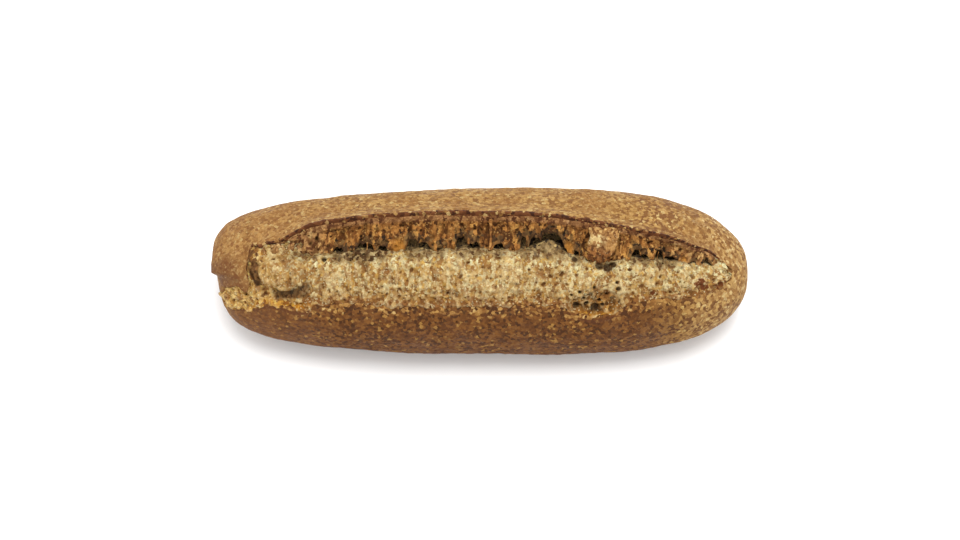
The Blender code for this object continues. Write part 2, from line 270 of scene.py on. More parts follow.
# Screen colours of grains: light, middle, dark and rare, then the shares that are dark and rare
PALETTES = {
    "top crust": ((197, 154, 88), (154, 108, 53), (138, 93, 47), (214, 181, 116), 0.16, 0.06),
    "low crust": ((139, 89, 39), (100, 58, 23), (76, 43, 16), (177, 130, 64), 0.2, 0.04),
    "right low crust": ((197, 151, 80), (146, 100, 49), (109, 67, 33), (222, 186, 108), 0.25, 0.05),
    "right end crust": ((216, 176, 110), (172, 126, 72), (134, 90, 48), (228, 196, 138), 0.25, 0.06),
    "torn lip": ((196, 148, 80), (156, 106, 52), (112, 68, 34), (222, 182, 114), 0.25, 0.06),
    # Ear rim: partly darker crust, partly painted shade under the ear's edge
    "ear rim": ((120, 71, 38), (92, 50, 25), (66, 33, 16), (150, 96, 54), 0.3, 0.06),
    "crumb": ((248, 241, 188), (210, 176, 107), (163, 120, 67), (129, 92, 54), 0.2, 0.05),
    "lower crumb": ((188, 139, 67), (156, 103, 43), (117, 70, 28), (202, 163, 95), 0.25, 0.06),
    "browned crumb": ((150, 100, 54), (112, 70, 36), (86, 52, 26), (196, 148, 84), 0.25, 0.06),
    "golden crumb": ((226, 163, 52), (183, 117, 29), (141, 82, 18), (239, 190, 74), 0.25, 0.06),
    "straw crumb": ((238, 195, 112), (191, 144, 73), (150, 99, 46), (252, 223, 139), 0.25, 0.06),
    "crater": ((160, 109, 48), (101, 62, 23), (53, 30, 12), (192, 140, 69), 0.36, 0.08),
    # Painted shade of the crease and the groove
    "hollow": ((113, 72, 36), (88, 54, 27), (59, 34, 15), (136, 90, 46), 0.3, 0.06),
    # Painted shade of the crumb's brow
    "brow": ((167, 135, 86), (123, 96, 62), (87, 60, 38), (184, 155, 104), 0.3, 0.06),
    # Painted shade of the crevice
    "deep": ((161, 131, 85), (104, 84, 57), (64, 51, 40), (209, 178, 115), 0.35, 0.06),
    "face": ((199, 136, 68), (133, 82, 38), (85, 51, 24), (223, 163, 84), 0.28, 0.07),
    "face band": ((188, 136, 86), (142, 94, 56), (104, 62, 38), (204, 156, 104), 0.2, 0.06),
    "face tan": ((213, 166, 108), (166, 117, 73), (115, 70, 42), (232, 193, 133), 0.25, 0.06),
    "face gloom": ((141, 105, 60), (89, 64, 40), (52, 38, 26), (209, 158, 87), 0.35, 0.06),
    "tongue": ((209, 158, 93), (163, 116, 63), (123, 80, 40), (229, 186, 117), 0.22, 0.08),
    # Painted highlight of the tongue
    "tongue highlight": ((245, 219, 155), (211, 173, 110), (170, 124, 73), (255, 240, 181), 0.2, 0.06),
    # Tongue low: reddish crust, partly painted shade
    "tongue low": ((169, 112, 59), (124, 76, 37), (87, 51, 25), (195, 140, 76), 0.3, 0.06),
    "threads": ((204, 150, 84), (160, 106, 52), (120, 74, 36), (220, 176, 110), 0.25, 0.06),
}


# -------- shape helpers


def ease(low, high, value):
    """Rises smoothly from 0 at low to 1 at high."""
    share = np.clip((value - low) / (high - low), 0.0, 1.0)
    return share * share * (3.0 - 2.0 * share)


def bell(value, centre, reach):
    """1 at the centre, fading out on both sides."""
    return np.exp(-(((value - centre) / reach) ** 2))


def within(span, value):
    """1 inside a span with two soft ends."""
    start, end = span
    return ease(*start, value) * ease(*end, value)


def curve_through(keys, at):
    """A smooth curve through the (position, value) pairs."""
    places, values = np.array(keys, dtype=float).T
    slopes = np.gradient(values, places)
    i = np.clip(np.searchsorted(places, at) - 1, 0, len(places) - 2)
    gap = places[i + 1] - places[i]
    s = np.clip((at - places[i]) / gap, 0.0, 1.0)
    start = values[i] * (1 + 2 * s) * (1 - s) ** 2 + slopes[i] * gap * s * (1 - s) ** 2
    end = values[i + 1] * s * s * (3 - 2 * s) + slopes[i + 1] * gap * s * s * (s - 1)
    return start + end


def corner_value(i, j, k, seed):
    """A fixed random value from -1 to 1 for each corner of a grid."""
    wave = np.sin(i * 127.1 + j * 311.7 + k * 74.7 + seed * 19.19) * 43758.5453
    return 2.0 * (wave - np.floor(wave)) - 1.0


def lumps(points, size, seed):
    """Smooth unevenness from -1 to 1 with lumps about this size across."""
    scaled = points / size
    cell = np.floor(scaled)
    inside = scaled - cell
    inside = inside * inside * (3.0 - 2.0 * inside)
    total = np.zeros(points.shape[:-1])
    for corner in range(8):
        step = np.array([corner & 1, corner >> 1 & 1, corner >> 2 & 1])
        weight = np.prod(np.where(step == 1, inside, 1.0 - inside), axis=-1)
        i, j, k = np.moveaxis(cell + step, -1, 0)
        total += weight * corner_value(i, j, k, seed)
    return total


def ripple(x, size, seed):
    """The same unevenness along one direction only."""
    line = np.stack([x, np.full_like(x, 0.5), np.full_like(x, 0.5)], axis=-1)
    return lumps(line, np.array([size, 1.0, 1.0]), seed)


def uneven(points, layers):
    """The sum of several layers of lumps."""
    return sum(height * lumps(points, size, seed) for height, size, seed in layers)


def waves(x, layers):
    """The sum of several layers of ripples."""
    return sum(height * ripple(x, size, seed) for height, size, seed in layers)


def bent(points, amount, size, seed):
    """The points shifted a little, so that round pores between them come out uneven."""
    return points + amount * lumps(points, size, seed)[..., None]


def fibres(x, run, wide, long, seed):
    """Unevenness drawn out along the run, as in torn dough."""
    place = np.stack([x / wide, run / long, np.full_like(x, 0.31 * seed)], axis=-1)
    return lumps(place, 1.0, seed)


def torn_fibres(x, run, layers):
    """The sum of several layers of fibres."""
    return sum(height * fibres(x, run, wide, long, seed) for height, wide, long, seed in layers)


def pores(points, size, kept, seed):
    """1 in the middle of small round pores and 0 between them; kept is the share of cells with a pore."""
    scaled = points / size
    cell = np.floor(scaled)
    far = 9.0
    nearest = np.full(points.shape[:-1], far)
    for corner in range(27):
        step = np.array([corner % 3, corner // 3 % 3, corner // 9]) - 1
        i, j, k = np.moveaxis(cell + step, -1, 0)
        centre = np.stack([corner_value(i, j, k, seed + n) for n in range(3)], axis=-1)
        centre = cell + step + 0.5 + 0.38 * centre
        radius = 0.75 + 0.25 * corner_value(i, j, k, seed + 3)
        there = 0.5 + 0.5 * corner_value(i, j, k, seed + 4) < kept
        gap = np.linalg.norm(scaled - centre, axis=-1) / radius
        nearest = np.minimum(nearest, np.where(there, gap, far))
    return ease(0.48, 0.10, nearest)


def distance_to_line(x, y, start, end):
    """Distance from the points (x, y) to the line between two places."""
    (x0, y0), (x1, y1) = start, end
    along = ((x - x0) * (x1 - x0) + (y - y0) * (y1 - y0)) / ((x1 - x0) ** 2 + (y1 - y0) ** 2)
    along = np.clip(along, 0.0, 1.0)
    return np.hypot(x - x0 - along * (x1 - x0), y - y0 - along * (y1 - y0))


def distance_from(x, girth, place, reach):
    """Distance on the crust from a place, where 1 is the edge of the form that lies there."""
    return np.hypot((x - place[0]) / reach[0], (girth - place[1]) / reach[1])


# -------- form of the loaf


def growth(x, shape):
    """Share of the full size that the outline has reached at station x."""
    reach = np.clip(np.abs(x) / HALF_LENGTH, 0.0, 1.0)
    (left_full, left_blunt), (right_full, right_blunt) = shape
    full = np.where(x < 0, left_full, right_full)
    blunt = np.where(x < 0, left_blunt, right_blunt)
    return (1.0 - reach**full) ** (1.0 / blunt)


def plain_loaf(x, girth):
    """Points of the loaf as if it had never been cut."""
    turn = np.radians(girth)
    across, up = np.cos(turn), np.sin(turn)
    upper = up >= 0
    power = 2.0 / np.where(upper, UPPER_FULLNESS, LOWER_FULLNESS)
    front = -FRONT_HALF_WIDTH * growth(x, FRONT_GROWTH)
    back = BACK_HALF_WIDTH * growth(x, BACK_GROWTH)
    y = np.where(across > 0, front, back) * np.abs(across) ** power
    crown = CROWN_RISE * growth(x, CROWN_GROWTH)
    belly = -BELLY_DROP * growth(x, BELLY_GROWTH)
    z = WAIST_HEIGHT + np.where(upper, crown, belly) * np.abs(up) ** power
    return np.stack([x, y, z], axis=-1)


def loaf_normals(x, girth):
    """Outward unit normals of the plain loaf."""
    step_x = 0.02 * (HALF_LENGTH - np.abs(x)) + 1e-4
    along = plain_loaf(x + step_x, girth) - plain_loaf(x - step_x, girth)
    around = plain_loaf(x, girth + 0.5) - plain_loaf(x, girth - 0.5)
    across = np.cross(along, around)
    return across / np.maximum(np.linalg.norm(across, axis=-1, keepdims=True), 1e-12)


def ear_rise(x):
    """Share of its full height that the ear reaches: it fades out towards both ends of the cut."""
    return within(EAR_SPAN, x)


def cut_depth(x):
    """Share of its full depth that the crevice reaches."""
    shallow = SHALLOW_SHARE * ease(*SHALLOW_START, x)
    deep = (1.0 - SHALLOW_SHARE) * ease(*CREVICE_START, x)
    return (shallow + deep) * ease(*CREVICE_STOP, x)


def tip_radius(x):
    """Size of the loaf's cross-section."""
    return TIP_SIZE * growth(x, BACK_GROWTH)


def stations(count):
    """Stations evenly spaced along the loaf's outline, from tip to tip."""
    fine = HALF_LENGTH * np.sin(np.linspace(-math.pi / 2, math.pi / 2, OUTLINE_STEPS))
    step = np.hypot(np.diff(fine), TIP_SIZE * np.diff(growth(fine, BACK_GROWTH)))
    run = np.concatenate([[0.0], np.cumsum(step)])
    return np.interp(np.linspace(0, run[-1], count + 1), run, fine)


def girth_at(x, share):
    """Girth angle at a share across the cut, with a ragged lip and a slightly wavy ear."""
    ear, lip = curve_through(EAR_LINE, x), curve_through(LIP_LINE, x)
    ragged = waves(x, RAGGED_LIP) * bell(share, 0.0, LIP_REACH)
    wavy = waves(x, WAVY_EAR) * bell(share, 1.0, EAR_REACH)
    return lip + (ear - lip) * share + ragged + wavy


def brow_shift(x):
    """The crumb's brow is wavy, and reaches further up at the widest cavity and near the right end."""
    widest = 0.13 * bell(x, 24.5, 5.5)
    right = 0.06 * within(RIGHT_BROW_SPAN, x)
    return waves(x, WAVY_BROW) - widest - right


def torn_nodule(x, girth):
    """1 on the torn rim of the rounded piece at the left end of the cut, 0 in its middle."""
    place = np.stack([x, DEGREE * girth, np.zeros_like(x)], axis=-1)
    return distance_from(x, girth, NODULE, NODULE_REACH) + uneven(place, NODULE_RIM)


def main_form(x, girth, share):
    """Height over the plain loaf of everything but the fine relief, and the masks that go with it."""
    inside = np.clip(share, CUT_PROFILE[0][0], CUT_PROFILE[-1][0])
    between = ease(0.40, 0.56, inside) * ease(0.95, 0.86, inside)
    profile = curve_through(CUT_PROFILE, inside + brow_shift(x) * between)
    over_edge = inside > EAR_STARTS
    rise = np.where(over_edge, np.maximum(profile, 0.0) * ear_rise(x), 0.0)
    hollow = np.where(over_edge, 0.0, np.minimum(profile, HIGHEST_CRUMB)) * cut_depth(x)
    height = rise + hollow

    nodule = torn_nodule(x, girth)
    under = ease(70.0, 56.0, girth) * within(CREASE_SPAN, x) * (0.9 + 0.3 * ripple(x, 3.0, 64))
    crease = bell(nodule, 1.17, 0.17) * under
    crater = distance_from(x, girth, CRATER, CRATER_REACH)
    groove = ease(2.7, 1.1, distance_to_line(x, DEGREE * girth, *GROOVE))
    height += NODULE_RISE * ease(1.12, 0.50, nodule) - CREASE_DEPTH * crease
    height -= CRATER_DEPTH * ease(1.15, 0.35, crater)
    height -= GROOVE_DEPTH * groove
    masks = {
        "nodule": ease(1.1, 0.8, nodule),
        # hollow: the crease under the nodule and the groove, darkened as painted shade
        "hollow": np.maximum(bell(nodule, 1.22, 0.26) * under, groove),
        "corner": ease(-74.5, -79.0, x) * ease(66.0, 76.0, girth),
        "crease": crease,
        "crater": ease(1.15, 0.5, crater),
    }
    return height, masks


def pitted(x, girth, places):
    """1 in the middle of each of these round marks and 0 around them."""
    nearest = np.full_like(x, np.inf)
    for place, turn, radius in places:
        gap = np.hypot(x - place, MARK_DEGREE * (girth - turn)) / radius
        nearest = np.minimum(nearest, gap)
    return ease(1.25, 0.35, nearest)


def notch_step(x, girth):
    """How far the lower lobe of the left end stops short of the upper one."""
    upper_lobe = ease(57.0, 71.0, girth) * ease(290.0, 190.0, girth)
    side = 1.0 - 2.0 * upper_lobe
    step = 0.5 * NOTCH_STEP * (1.0 + side * ease(0.0, NOTCH_REACH, tip_radius(x)))
    return step * ease(-66.0, -93.0, x)


def placed(x, girth, height):
    """Points at this height over the plain loaf."""
    points = plain_loaf(x, girth) + loaf_normals(x, girth) * height[..., None]
    points[..., 0] += notch_step(x, girth)
    return points


# -------- meshes


def wrapped_mesh(name, points, marks):
    """A closed mesh: the first and last rows are its two tips and the columns go round it."""
    rows, columns = points.shape[0] - 1, points.shape[1]
    ball = bmesh.new()
    bmesh.ops.create_uvsphere(ball, u_segments=columns, v_segments=rows, radius=1.0)
    mesh = bpy.data.meshes.new(name)
    ball.to_mesh(mesh)
    ball.free()
    where = np.empty(len(mesh.vertices) * 3)
    mesh.vertices.foreach_get("co", where)
    where = where.reshape(-1, 3)
    row = rows - np.rint(np.arccos(np.clip(where[:, 2], -1, 1)) / math.pi * rows).astype(int)
    turn = np.arctan2(where[:, 1], where[:, 0]) / (2 * math.pi) * columns
    column = np.floor(0.25 - turn).astype(int) % columns
    mesh.vertices.foreach_set("co", (points[row, column] * MM).ravel())
    for label, values in marks.items():
        layer = mesh.attributes.new(label, "FLOAT", "POINT")
        layer.data.foreach_set("value", values[row, column].astype(np.float32))
    return mesh


def add_piece(mesh, material):
    """Puts a smooth piece in the scene, riding on the loaf's body in place of its solid."""
    mesh.polygons.foreach_set("use_smooth", [True] * len(mesh.polygons))
    mesh.update()
    mesh.materials.append(material)
    piece = bpy.data.objects.new(mesh.name, mesh)
    bpy.context.scene.collection.objects.link(piece)
    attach(piece, "root")
    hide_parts("loaf")


def centred(points, shift):
    """The points with the loaf's middle over the origin, none of them under the floor."""
    points = points - shift
    points[..., 2] = np.maximum(points[..., 2], 0.0)
    return points


def crust_grid():
    """Station, girth angle and share across the cut of the crust's points; 2 is outside the cut."""
    rows = stations(CRUST_STATIONS)[:, None]
    shares = np.concatenate(
        [np.linspace(low, high, count, endpoint=False) for low, high, count in CRUST_CUT_SHARES]
    )
    shares = np.append(shares, CRUST_CUT_SHARES[-1][1])[None, :]
    x = np.repeat(rows, shares.shape[1], axis=1)
    cut = girth_at(x, np.broadcast_to(shares, x.shape))
    steps = np.arange(1, CRUST_PLAIN_COLUMNS + 1) / (CRUST_PLAIN_COLUMNS + 1)
    plain = cut[:, -1:] + (cut[:, :1] + 360.0 - cut[:, -1:]) * steps
    girth = np.concatenate([cut, plain], axis=1)
    share = np.concatenate([np.broadcast_to(shares, cut.shape), np.full_like(plain, 2.0)], axis=1)
    return np.repeat(rows, girth.shape[1], axis=1), girth, share


def crust_piece(material):
    """The browned crust all round; returns how far its middle lies from the origin."""
    x, girth, share = crust_grid()
    height, _ = main_form(x, girth, share)
    skin = plain_loaf(x, girth)
    opened = within(OPEN_SPAN, x)

    # Under the torn crumb the skin sinks out of sight
    sunk = ease(0.0, 0.09, share) * ease(0.997, 0.972, share) * opened
    height -= SUNK_DEPTH * sunk

    # Unevenness, small dents and blisters of the baked skin, and the ear's thin raised edge
    height += uneven(skin, CRUST_WAVES)
    on_skin = 1.0 - sunk
    height += on_skin * uneven(skin, SKIN_GRAIN)
    height -= on_skin * DENT_DEPTH * pores(skin, *SKIN_DENTS)
    blisters = pitted(x, girth, BLISTERS)
    height -= BLISTER_DEPTH * blisters
    height += RIM_RISE * bell(share, 1.003, 0.012) * ear_rise(x)
    height *= ease(0.0, 9.0, tip_radius(x))

    points = placed(x, girth, height)
    open_rim = within(RIM_SPAN, x) * (0.75 + 0.30 * ripple(x, 5.0, 36) + 0.25 * ripple(x, 1.6, 37))
    middle = 0.5 * (points.reshape(-1, 3).max(axis=0) + points.reshape(-1, 3).min(axis=0))
    shift = np.array([middle[0], middle[1], 0.0])
    banded = np.maximum(ease(-54.0, -62.0, x), bell(x, CRATER[0], 9.0)) * opened
    shade = bell(share, -0.055, 0.04) * banded
    marks = {
        # front: where the lower crust is darker, partly its own browner colour and partly painted shade
        "front": ease(-8.0, -20.5, skin[..., 1]),
        # rim: the ear's dark edge, partly a darker edge of the crust and partly painted shade just under
        # it
        "rim": ease(0.965, 0.985, share) * ease(1.042, 1.014, share) * opened * open_rim,
        "under": ease(0.0, -0.9, np.sin(np.radians(girth))),
        "lobe": ease(-79.0, -89.0, x) * ease(98.0, 76.0, girth) * ease(36.0, 50.0, girth),
        "lip": ease(-0.20, 0.0, share) * ease(0.3, 0.1, share) * opened * (1.0 - 0.8 * shade),
        "shade": shade,
        "left": ease(*LEFT_END, x),
        "right": ease(*RIGHT_END, x),
        "freckled": within(FRECKLED_SPAN, x) * ease(22.0, 34.0, skin[..., 2]),
        "blister": blisters,
        "sunk": sunk,
    }
    add_piece(wrapped_mesh("crust", centred(points, shift), marks), material)
    return shift


def crumb_columns():
    """Shares of the crumb's columns, and the length of the profile up to each of them.

    They run evenly along the profile, but wider apart in the crevice, and then back underneath.
    """
    fine = np.linspace(*CRUMB_SHARES, 1500)
    rise = np.minimum(curve_through(CUT_PROFILE, fine), 3.0)
    in_crevice = fine[1:] > 0.80
    pace = np.hypot(np.diff(fine) * CUT_WIDTH, np.diff(rise)) * np.where(in_crevice, 0.35, 1.0)
    run = np.concatenate([[0.0], np.cumsum(pace)])
    front = np.interp(np.linspace(0, run[-1], CRUMB_FRONT_COLUMNS), run, fine)
    steps = np.arange(1, CRUMB_BACK_COLUMNS + 1) / (CRUMB_BACK_COLUMNS + 1)
    back = front[-1] + (front[0] - front[-1]) * steps
    lengths = np.interp(np.concatenate([front, back]), fine, run)
    return np.concatenate([front, back]), lengths


def crumb_piece(material, shift):
    """The torn crumb from under the lower lip to under the ear."""
    shares, lengths = crumb_columns()
    rows = np.linspace(*CRUMB_ENDS, CRUMB_STATIONS + 1)[:, None]
    tips = np.minimum(rows - CRUMB_ENDS[0], CRUMB_ENDS[1] - rows)
    closing = ease(0.0, 3.0, tips)
    x = np.repeat(rows, shares.shape[0], axis=1)
    share = shares[None, :] + 0.034 * ease(0.80, 0.955, shares[None, :]) * (1.0 - cut_depth(x))
    share = CRUMB_MIDDLE + (share - CRUMB_MIDDLE) * closing
    run = np.broadcast_to(lengths[None, :], x.shape)
    front = (np.arange(share.shape[1]) < CRUMB_FRONT_COLUMNS)[None, :] * np.ones_like(x)
    girth = girth_at(x, share)
    height, masks = main_form(x, girth, share)
    crease = masks.pop("crease")
    macro = placed(x, girth, height)

    # Torn fibres run across the cut, a little aslant
    slant = x + 0.22 * run + 1.4 * lumps(macro, 6.0, 41)
    grain = lumps(macro, 1.2, 45)
    ridges = 1.0 - 2.0 * np.abs(fibres(slant, run, 2.1, 5.0, 47))
    clumps = 1.0 - 2.2 * np.abs(lumps(macro, 2.2, 48))
    relief = torn_fibres(slant, run, CRUMB_FIBRES) + 0.50 * grain + 0.45 * ridges + 0.35 * clumps
    holes = pores(bent(macro, 0.5, 1.4, 49), *CRUMB_HOLES)
    small_holes = pores(bent(macro, 0.3, 0.9, 50), *SMALL_CRUMB_HOLES)
    relief -= HOLE_DEPTH * holes + SMALL_HOLE_DEPTH * small_holes
    named = pitted(x, girth, PORES)
    deep = ease(0.66, 0.82, share) * cut_depth(x)
    low_shade = 0.07 * bell(x, -42.0, 9.0)
    shaded = ease(0.50 - low_shade, 0.64 - low_shade, share)
    rubble = bell(share, 0.66, 0.07) * cut_depth(x) * uneven(macro, BROW_RUBBLE)
    height += relief + rubble - PORE_DEPTH * named

    # The edges dive under the skin, and the back lies deeper
    edge = np.maximum(ease(0.03, -0.04, share), ease(0.90, 0.955, share))
    ends = 1.0 - ease(0.3, 2.5, tips)
    height -= (SHALLOW_DIVE + DEEP_DIVE * cut_depth(x)) * np.maximum(edge, ends)
    height += uneven(plain_loaf(x, girth), CRUST_WAVES)
    height -= CRUMB_THICKNESS * (1.0 - front)

    points = placed(x, girth, height)
    marks = {
        **masks,
        # deep: painted shade in the crevice, the crease under the nodule and the named pores
        "deep": np.clip(deep + 0.35 * crease + 0.5 * named, 0, 1),
        # pore and pit: holes in the crumb, darkened below as painted shade
        "pore": named,
        "pit": np.clip(holes + 0.6 * small_holes, 0, 1),
        # high: relief height; low places get painted shade and high ones painted highlights
        "high": np.clip(0.5 + 0.35 * relief, 0, 1),
        "share": share,
        # brow: painted shade on the crumb's brow under the ear and below each cavity
        "brow": np.maximum(0.9 * ease(0.59, 0.72, share), shaded * near(x, CAVITIES, 1.2)) * cut_depth(x),
        "left": ease(*LEFT_END, x),
        # Painted shade on the brow under the ear near the left end
        "left_brow_shade": bell(x, -41.5, 7.0) * ease(0.52, 0.60, share) * cut_depth(x),
        "scorch": pitted(x, girth, SCORCHES),
        "golden": ease(0.18, 0.04, share) * np.maximum(ease(-54.0, -64.0, x), bell(x, CRATER[0], 8.0)),
    }
    add_piece(wrapped_mesh("crumb", centred(points, shift), marks), material)


def face_ends(x):
    """The lines on the ear and on the crumb's brow that the torn face is stretched between."""
    top = np.full_like(x, FACE_TOP)
    foot = FACE_FOOT + LEFT_FOOT_SHIFT * ease(-54.0, -66.0, x)
    lines = []
    for share, lift in ((top, -0.1), (foot, 0.25)):
        girth = girth_at(x, share)
        height, _ = main_form(x, girth, share)
        lines.append(placed(x, girth, height + lift))
    return lines


def near(x, places, reach):
    """1 at the stations of these places, fading out over this many of their half widths."""
    return np.max([bell(x, place, reach * half) for place, half, _ in places], axis=0)


def gloom(x, down):
    """How shaded the torn face is around each cavity."""
    amount = np.zeros_like(x)
    for cavity in CAVITIES:
        top = cavity[2]
        amount = np.maximum(amount, near(x, [cavity], 1.35) * ease(top - 0.36, top - 0.06, down))
    return amount


def hem(x):
    """How far down the torn face reaches: less over the cavities and further at the chunks."""
    lowest = np.full_like(x, FACE_REACH)
    for place, half, low in CHUNKS:
        chunk = ease(1.2, 0.4, np.abs(x - place) / half)
        lowest = np.maximum(lowest, FACE_REACH + (low - FACE_REACH) * chunk)
    for place, half, top in CAVITIES:
        gap = (x - place) / half + 0.35 * ripple(x, 1.7, 70)
        arch = ease(1.15, 0.35, np.abs(gap))
        lowest = np.minimum(lowest, FACE_REACH - (FACE_REACH - top) * arch)
    return lowest + waves(x, WAVY_HEM)


def face_piece(material, shift):
    """The torn face of the ear: a hanging sheet of strands, open over the cavities."""
    rows = np.linspace(*FACE_ENDS, FACE_STATIONS + 1)[:, None]
    tips = np.minimum(rows - FACE_ENDS[0], FACE_ENDS[1] - rows)
    closing = ease(0.0, 5.0, tips)
    end = hem(rows)
    front_steps = np.linspace(1.0, 0.0, FACE_FRONT_COLUMNS)
    back_steps = (np.arange(FACE_BACK_COLUMNS) + 0.5) / FACE_BACK_COLUMNS
    steps = np.concatenate([front_steps, back_steps])[None, :]
    front = np.concatenate([np.ones(FACE_FRONT_COLUMNS), np.zeros(FACE_BACK_COLUMNS)])[None, :]
    down = end * steps * closing
    x = np.repeat(rows, steps.shape[1], axis=1)
    ear, brow = face_ends(x)
    stretch = brow - ear
    points = ear + stretch * down[..., None]
    length = np.linalg.norm(stretch, axis=-1)
    out = np.stack([np.zeros_like(x), stretch[..., 2], -stretch[..., 1]], axis=-1)
    out /= np.maximum(np.linalg.norm(out, axis=-1, keepdims=True), 1e-9)

    depth = cut_depth(x) * ear_rise(x)
    run = down * length
    slant = x + 0.20 * run + 1.2 * ripple(x, 7.0, 73)
    knots = lumps(points, 1.6, 77)
    band = ease(0.24, 0.12, down)
    torn = 1.0 - 0.65 * band
    relief = torn * (torn_fibres(slant, run, FACE_FIBRES) + 0.50 * knots)
    places = bent(points, 0.5, 1.3, 80)
    holes = np.maximum(pores(places, *FACE_HOLES), 0.7 * pores(places, *SMALL_FACE_HOLES))
    holes *= 1.0 - 0.7 * band
    relief -= FACE_HOLE_DEPTH * holes
    sag = FACE_SAG * np.sin(math.pi * np.clip(down, 0, 1)) ** 1.4 * (1.15 - 0.5 * down)
    hang = ease(0.0, 0.12, end - down)
    height = relief - sag * depth - 0.8 * ease(0.025, 0.0, down) - 0.3 * (1.0 - hang)
    thick = (HEM_THICKNESS + FACE_THICKNESS * hang) * closing
    height -= thick * (1.0 - front)
    height = height * closing - 1.2 * (1.0 - closing)
    points = points + out * height[..., None]
    marks = {
        # pit: holes in the face, darkened below as painted shade
        "pit": np.clip(holes, 0, 1),
        # high: relief height; low places get painted shade and high ones painted highlights
        "high": np.clip(0.5 + 0.5 * relief, 0, 1),
        "hem": ease(0.30, 0.02, end - down) * ease(1.0, 0.85, end + np.zeros_like(x)),
        "orange": near(x, CHUNKS, 1.0) * ease(0.45, 0.85, down),
        "gloom": gloom(x, down),
        "tan": np.maximum(ease(-48.0, -62.0, x), 0.6 * ease(50.0, 76.0, x)),
        "band": band,
        # back: the side of the sheet that faces into the crevice, painted dark as shade
        "back": 1.0 - front + np.zeros_like(x),
    }
    add_piece(wrapped_mesh("ear_face", centred(points, shift), marks), material)


def swept(path, widths, heights, sides):
    """Points of a rounded bar along the path; the width is measured along the loaf."""
    direction = np.gradient(path, axis=0)
    direction /= np.linalg.norm(direction, axis=1, keepdims=True)
    side = np.array([1.0, 0.0, 0.0]) - direction * direction[:, :1]
    side /= np.linalg.norm(side, axis=1, keepdims=True)
    up = np.cross(direction, side)
    turn = np.arange(sides) * 2 * math.pi / sides
    ring = side[:, None] * (np.cos(turn)[None, :, None] * widths[:, None, None])
    return path[:, None] + ring - up[:, None] * (np.sin(turn)[None, :, None] * heights[:, None, None])


def tongue_piece(material, shift):
    """A blunt tongue of crust that hangs from the ear over the crumb."""
    keys = np.array(TONGUE)
    steps = np.linspace(0, 1, TONGUE_ROWS + 1)
    places = np.linspace(0, 1, len(keys))
    lines = [curve_through(np.column_stack([places, values]), steps) for values in keys.T]
    path = np.stack(lines, axis=-1)
    rounding = np.clip((steps - TONGUE_ROUNDS_FROM) / (1.0 - TONGUE_ROUNDS_FROM), 0, 1)
    tip = np.sqrt(1.0 - rounding**2) * np.sqrt(ease(-0.02, 0.1, steps))
    tip[0] = 0.0
    points = swept(path[:, :3], path[:, 3] * tip, path[:, 4] * tip, TONGUE_COLUMNS)
    centre = path[:, None, :3]
    outward = points - centre
    outward /= np.maximum(np.linalg.norm(outward, axis=-1, keepdims=True), 1e-6)
    relief = uneven(points, TONGUE_GRAIN) - 0.6 * pores(bent(points, 0.4, 1.1, 86), *TONGUE_HOLES)
    points = points + outward * (relief * tip[:, None])[..., None]
    marks = {
        # low: the tongue's lower front, reddish and partly painted shade
        "low": ease(0.54, 0.66, steps)[:, None] * np.ones(points.shape[:2]),
        # Painted highlight on the upper left of the tongue
        "painted_highlight": bell(steps, 0.46, 0.11)[:, None] * ease(3.0, -1.5, points[..., 0] - centre[..., 0]),
        # high: relief height; low places get painted shade
        "high": np.clip(0.5 + 0.6 * relief, 0, 1),
    }
    add_piece(wrapped_mesh("tongue", centred(points, shift), marks), material)


def all_threads():
    """The named threads, and spare ones at random places in the cavities."""
    chance = np.random.default_rng(THREAD_SEED)
    threads = list(THREADS)
    for _ in range(SPARE_THREADS):
        place, half, top = CAVITIES[chance.integers(len(CAVITIES))]
        high = place + half * chance.uniform(-1.0, 1.0)
        low = high + chance.uniform(-1.2, 1.2)
        stop = chance.uniform(0.98, 1.12)
        radius = chance.uniform(0.10, 0.24)
        threads.append((high, low, top - 0.04, stop, radius))
    return threads


def threads_piece(material, shift):
    """Thin threads of torn dough between the ear and the brow of the crumb."""
    vertices, faces = [], []
    steps = np.linspace(0, 1, THREAD_STEPS)
    for number, (high, low, start, stop, radius) in enumerate(all_threads()):
        x = high + (low - high) * steps
        ear, brow = face_ends(x)
        down = start + (stop - start) * steps
        path = ear + (brow - ear) * down[:, None]
        bend = np.sin(math.pi * steps)
        path[:, 0] += 0.35 * bend * corner_value(number, 1.0, 2.0, 91)
        path[:, 2] -= bend * (THREAD_SAG + 0.5 * corner_value(number, 3.0, 2.0, 92))
        widths = radius * (0.75 + 0.55 * np.abs(2 * steps - 1) ** 2)
        grid = swept(path, widths, widths * 0.9, THREAD_SIDES)
        first = len(vertices)
        last = first + (THREAD_STEPS - 1) * THREAD_SIDES
        vertices += [tuple(p) for p in centred(grid, shift).reshape(-1, 3) * MM]
        for here in range(first, last, THREAD_SIDES):
            beyond = here + THREAD_SIDES
            for side in range(THREAD_SIDES):
                beside = (side + 1) % THREAD_SIDES
                faces.append((here + side, beyond + side, beyond + beside, here + beside))
        faces.append(tuple(range(first, first + THREAD_SIDES)))
        faces.append(tuple(reversed(range(last, last + THREAD_SIDES))))
    mesh = bpy.data.meshes.new("threads")
    mesh.from_pydata(vertices, [], faces)
    add_piece(mesh, material)


# -------- materials


